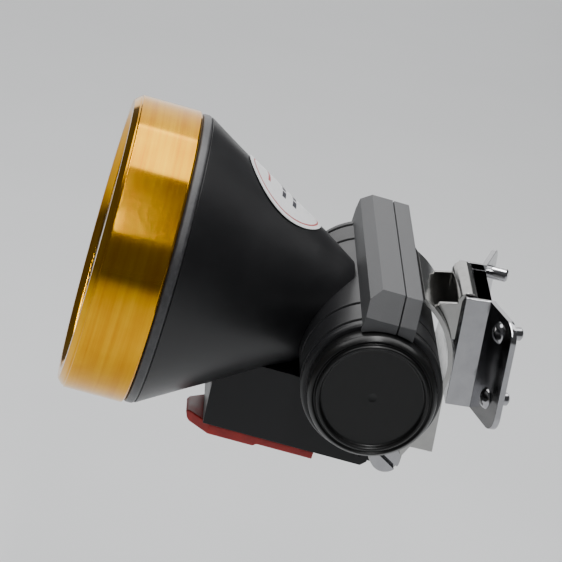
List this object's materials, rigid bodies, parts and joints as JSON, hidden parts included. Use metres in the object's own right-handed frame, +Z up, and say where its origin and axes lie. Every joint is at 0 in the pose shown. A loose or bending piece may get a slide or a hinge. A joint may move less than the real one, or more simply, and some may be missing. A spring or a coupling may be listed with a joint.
{
  "type": "miner's cap lamp",
  "caption": "Cordless cap lamp: cone head with anodised bezel and ribbed cross drum, tilting on a steel hinge base that hooks over a riveted cap bracket, with a switch paddle below.",
  "frame": {"origin": "centre of the four-rivet pattern on the cap bracket, on the line where the rivets meet the cap", "axes": "+Y towards the cap, so the lamp shines along -Y; +Z up along the bracket; +X to the wearer's left"},
  "size_m": [0.0766, 0.0972, 0.0729],
  "materials": {
    "chromed_steel": "bright chrome plate on pressed steel",
    "polished_steel": "polished",
    "friction_disc": "matte",
    "black_plastic": "satin moulded",
    "black_cap": "satin turned",
    "gold_anodised": "bright gold-orange anodised, fine turning lines",
    "seal_rubber": "matte",
    "clear_lens": "clear polished",
    "mirror_coat": "vacuum-metallised",
    "white_board": "solder mask",
    "phosphor": "clear dome on phosphor",
    "bare_aluminium": "as turned",
    "green_board": "solder mask",
    "red_lead": "insulation",
    "grey_plastic": "matte",
    "brass_contact": "plated",
    "cell_wrap": "heat-shrink wrap on a cell",
    "black_screw": "black oxide",
    "white_label": "printed film",
    "red_plastic": "satin moulded"
  },
  "bodies": {
    "bracket": {"cap_bracket": "chromed_steel", "bracket_rivets": "chromed_steel"},
    "base": {"base_plate": "polished_steel", "hook_tongue": "polished_steel", "pivot_screw": "chromed_steel", "pivot_nut": "chromed_steel", "hinge_washers": "friction_disc"},
    "head": {"front_housing": "black_plastic", "rear_cover": "black_plastic", "bezel": "gold_anodised", "bezel_seal": "seal_rubber", "lens": "clear_lens", "lens_gasket": "seal_rubber", "reflector": "mirror_coat", "led_board": "white_board", "led_emitter": "phosphor", "heat_sink": "bare_aluminium", "driver_board": "green_board", "led_leads": "red_lead", "switch_board": "green_board", "tact_switch": "grey_plastic", "charge_contacts": "brass_contact", "battery_cell": "cell_wrap", "contact_spring": "polished_steel", "contact_plate": "brass_contact", "end_cap_left": "black_cap", "end_cap_right": "black_cap", "cap_seals": "seal_rubber", "housing_screws": "black_screw", "label": "white_label", "hinge_bushes": "brass_contact", "paddle_pin": "polished_steel"},
    "paddle": {"switch_paddle": "red_plastic"}
  },
  "joints": [
    {"name": "hook_lift", "type": "slide", "parent": "bracket", "child": "base", "axis": [0, 0, 1], "range_m": [0, 0.028]},
    {"name": "head_tilt", "type": "hinge", "parent": "base", "child": "head", "pos_m": [0, -0.0197, -0.02603], "axis": [1, 0, 0], "range_deg": [-3, 60]},
    {"name": "switch_press", "type": "hinge", "parent": "head", "child": "paddle", "pos_m": [0, -0.03855, -0.03102], "axis": [-1, 0, 0], "range_deg": [0, 1.8], "stiffness_Nm_per_rad": 1, "springref_deg": -1.15}
  ]
}
